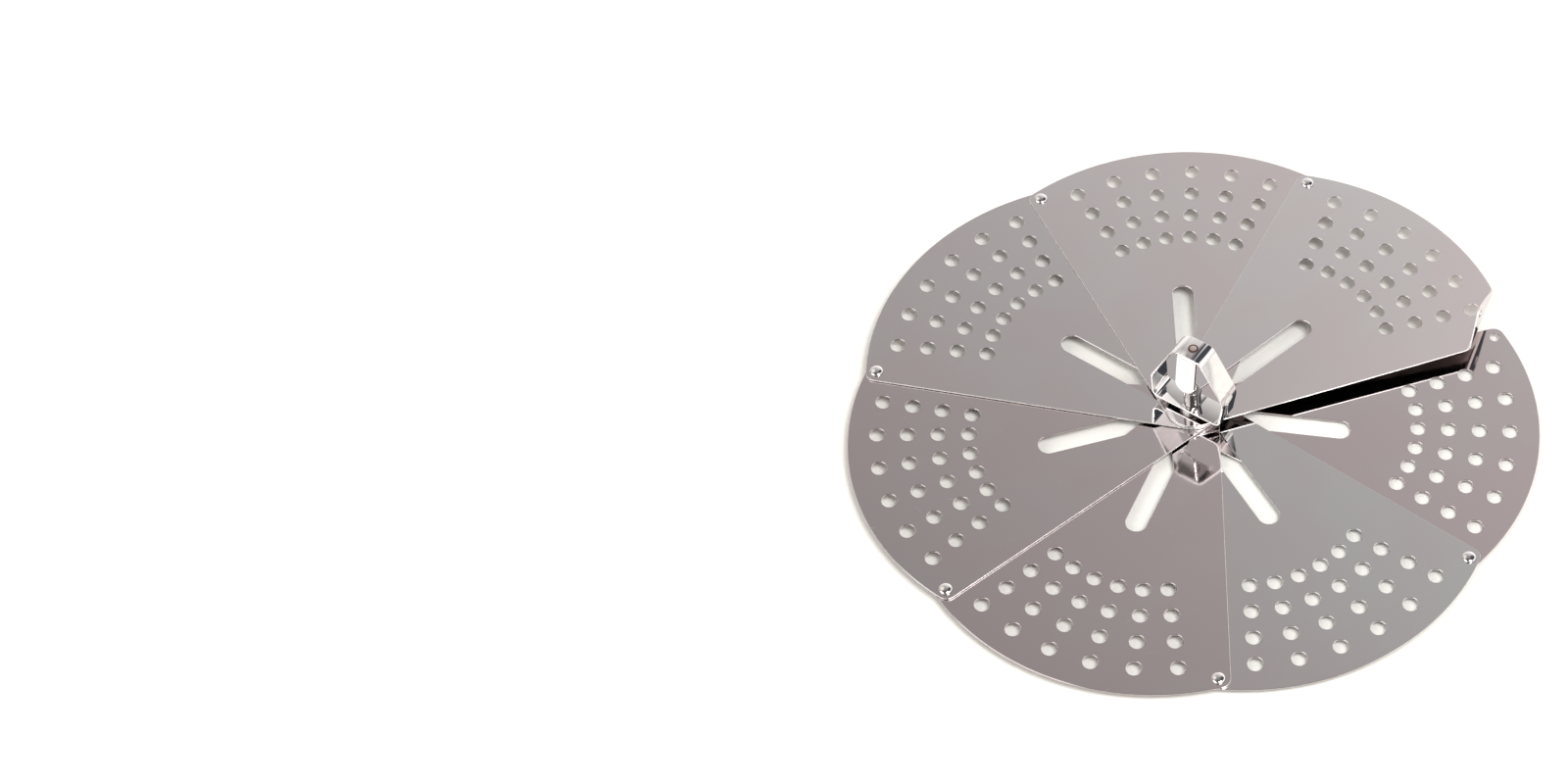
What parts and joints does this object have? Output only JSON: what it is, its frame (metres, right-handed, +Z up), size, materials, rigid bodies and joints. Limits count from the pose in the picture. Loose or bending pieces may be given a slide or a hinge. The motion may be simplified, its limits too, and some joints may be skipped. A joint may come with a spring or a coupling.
{
  "type": "adjustable drop lid",
  "caption": "Round stainless drop lid for pots: perforated blades riveted in a fan that slides open or shut on its centre post, with a turning loop handle.",
  "frame": {"origin": "on the hub's axis, at the underside of the centre bolt's flat foot", "axes": "+Z up along the hub's axis; +X along the width of the handle's loop; the finger tongue hangs on the -Y side; the fan is fully opened out"},
  "size_m": [0.2246, 0.226, 0.036],
  "materials": {
    "blade_steel": "rolled stainless sheet, nearly mirror bright",
    "rivet_steel": "polished",
    "handle_steel": "mirror polished strip",
    "nut_steel": "turned and polished",
    "hub_steel": "turned",
    "spring_steel": "satin spring strip"
  },
  "bodies": {
    "hub": {"centre_bolt": "hub_steel", "lower_washer": "hub_steel", "upper_washer": "hub_steel", "wave_washer": "spring_steel", "barrel_nut": "nut_steel"},
    "handle": {"handle_loop": "handle_steel", "handle_tongue": "handle_steel", "handle_pin": "handle_steel"},
    "blade_1": {"blade_1": "blade_steel", "rivet_1_2": "rivet_steel"},
    "blade_2": {"blade_2": "blade_steel", "rivet_2_3": "rivet_steel"},
    "blade_3": {"blade_3": "blade_steel", "rivet_3_4": "rivet_steel"},
    "blade_4": {"blade_4": "blade_steel", "rivet_4_5": "rivet_steel"},
    "blade_5": {"blade_5": "blade_steel", "rivet_5_6": "rivet_steel"},
    "blade_6": {"blade_6": "blade_steel", "rivet_6_7": "rivet_steel"},
    "blade_7": {"blade_7": "blade_steel"}
  },
  "joints": [
    {"name": "handle_turn", "type": "hinge", "parent": "hub", "child": "handle", "pos_m": [0, 0, 0.0078], "axis": [0, 0, 1], "continuous": true},
    {"name": "fan_slide", "type": "slide", "parent": "hub", "child": "blade_4", "axis": [-0.6428, -0.766, 0], "range_m": [-0.0335, 0]},
    {"name": "hinge_3_4", "type": "hinge", "parent": "blade_4", "child": "blade_3", "pos_m": [-0.09661, -0.04342, 0.0043], "axis": [0, 0, 1], "range_deg": [-20.8, 0]},
    {"name": "hinge_2_3", "type": "hinge", "parent": "blade_3", "child": "blade_2", "pos_m": [-0.09404, 0.04874, 0.005], "axis": [0, 0, 1], "range_deg": [-20.8, 0]},
    {"name": "hinge_1_2", "type": "hinge", "parent": "blade_2", "child": "blade_1", "pos_m": [-0.02021, 0.10397, 0.0057], "axis": [0, 0, 1], "range_deg": [-20.8, 0]},
    {"name": "hinge_4_5", "type": "hinge", "parent": "blade_4", "child": "blade_5", "pos_m": [-0.02598, -0.10268, 0.0029], "axis": [0, 0, 1], "range_deg": [0, 20.8]},
    {"name": "hinge_5_6", "type": "hinge", "parent": "blade_5", "child": "blade_6", "pos_m": [0.06433, -0.08414, 0.0022], "axis": [0, 0, 1], "range_deg": [0, 20.8]},
    {"name": "hinge_6_7", "type": "hinge", "parent": "blade_6", "child": "blade_7", "pos_m": [0.1059, -0.00185, 0.0015], "axis": [0, 0, 1], "range_deg": [0, 20.8]}
  ],
  "couplings": [
    {"joint": "hinge_3_4", "follows": "fan_slide", "rad_per_m": 10.836},
    {"joint": "hinge_2_3", "follows": "fan_slide", "rad_per_m": 10.836},
    {"joint": "hinge_1_2", "follows": "fan_slide", "rad_per_m": 10.836},
    {"joint": "hinge_4_5", "follows": "fan_slide", "rad_per_m": -10.836},
    {"joint": "hinge_5_6", "follows": "fan_slide", "rad_per_m": -10.836},
    {"joint": "hinge_6_7", "follows": "fan_slide", "rad_per_m": -10.836}
  ]
}
